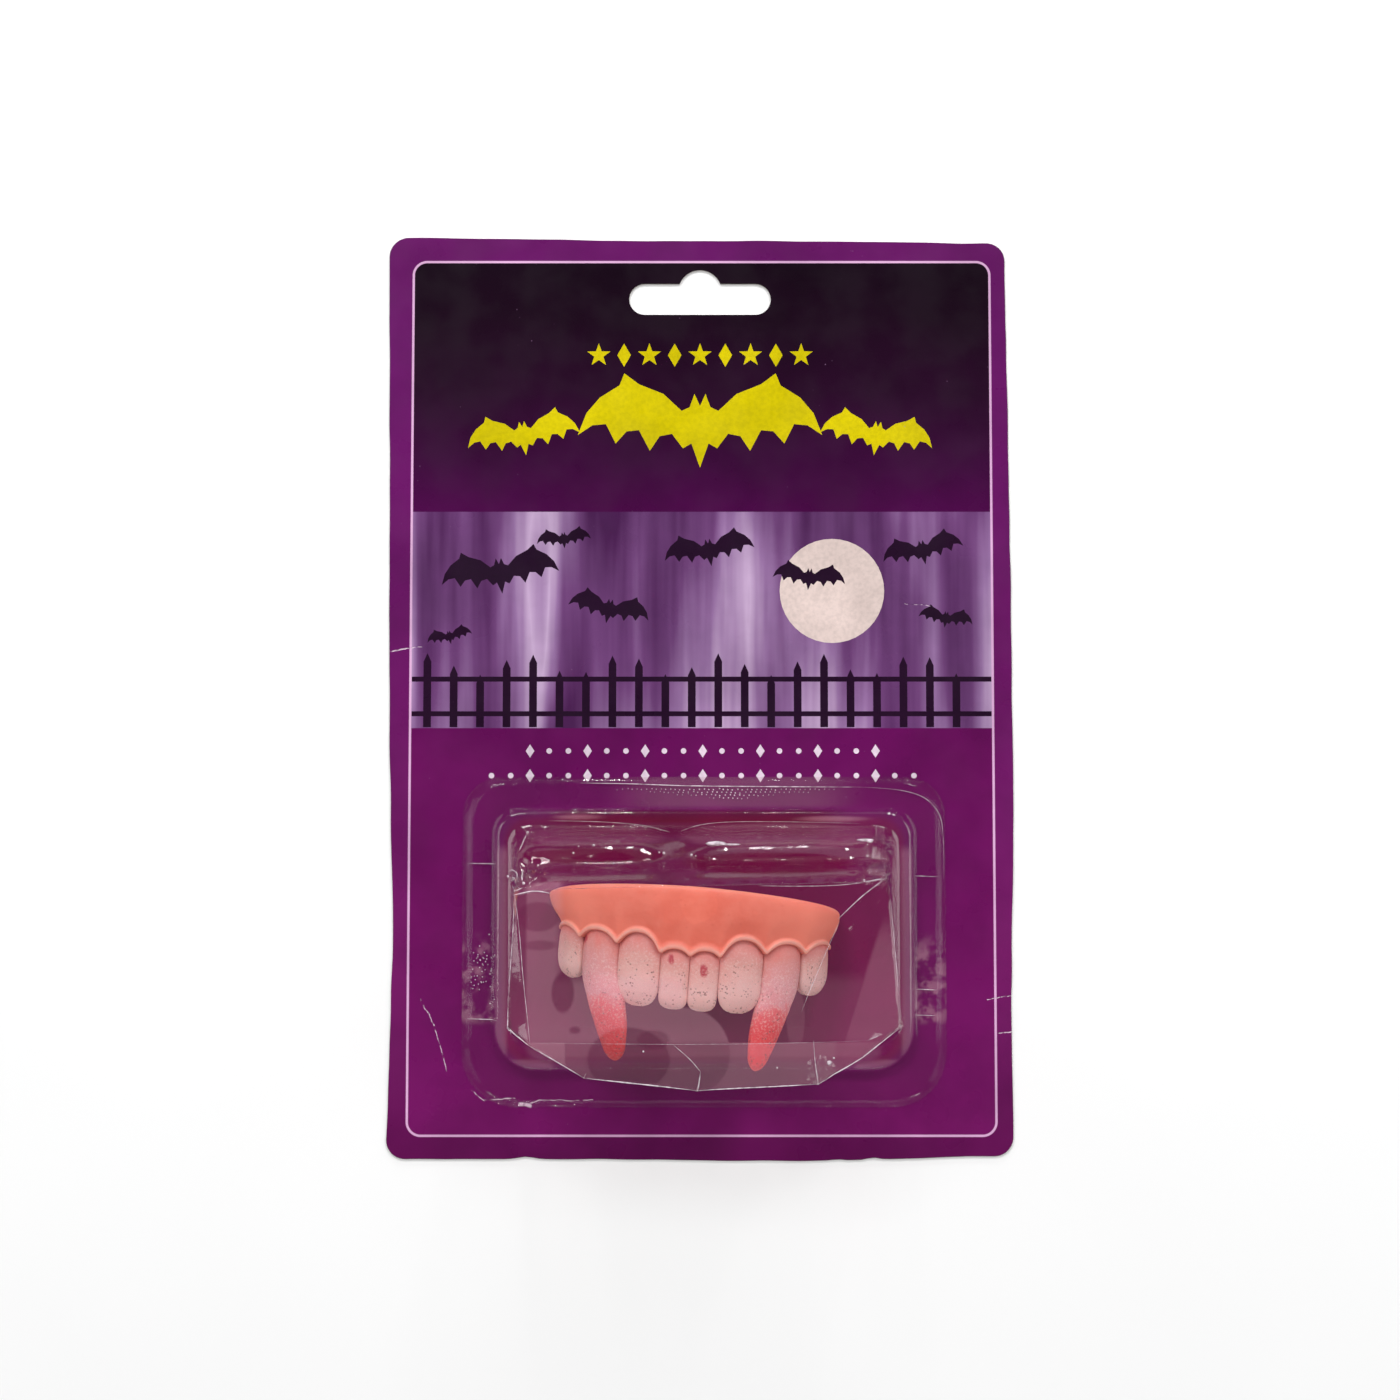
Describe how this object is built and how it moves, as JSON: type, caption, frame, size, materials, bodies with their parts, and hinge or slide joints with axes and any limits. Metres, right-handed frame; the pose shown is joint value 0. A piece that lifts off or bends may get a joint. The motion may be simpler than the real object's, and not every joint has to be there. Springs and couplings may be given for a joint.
{
  "type": "vampire fang denture on a blister card",
  "caption": "Soft novelty denture with a gum base, bite channel and long fangs, held in a dented clear blister on a printed card with a hang slot.",
  "frame": {"origin": "middle of the card's back, on the surface that the card lies on", "axes": "+X the card's right side seen from its front, +Y along the card to its hanging end, +Z out of the card's front"},
  "size_m": [0.135, 0.2, 0.0275],
  "materials": {
    "printed_card": "varnished purple print on white board",
    "clear_film": "clear thin vacuum-formed film",
    "gum_vinyl": "satin soft coral vinyl",
    "tooth_vinyl": "satin pinkish ivory vinyl, speckled",
    "fang_vinyl": "satin ivory vinyl running into blood red at the tip"
  },
  "bodies": {
    "root": {"backing_card": "printed_card", "blister": "clear_film", "gum_base": "gum_vinyl", "tooth_central_left": "tooth_vinyl", "tooth_central_right": "tooth_vinyl", "tooth_lateral_left": "tooth_vinyl", "tooth_lateral_right": "tooth_vinyl", "fang_left": "fang_vinyl", "fang_right": "fang_vinyl", "tooth_premolar_left": "tooth_vinyl", "tooth_premolar_right": "tooth_vinyl"}
  },
  "joints": []
}
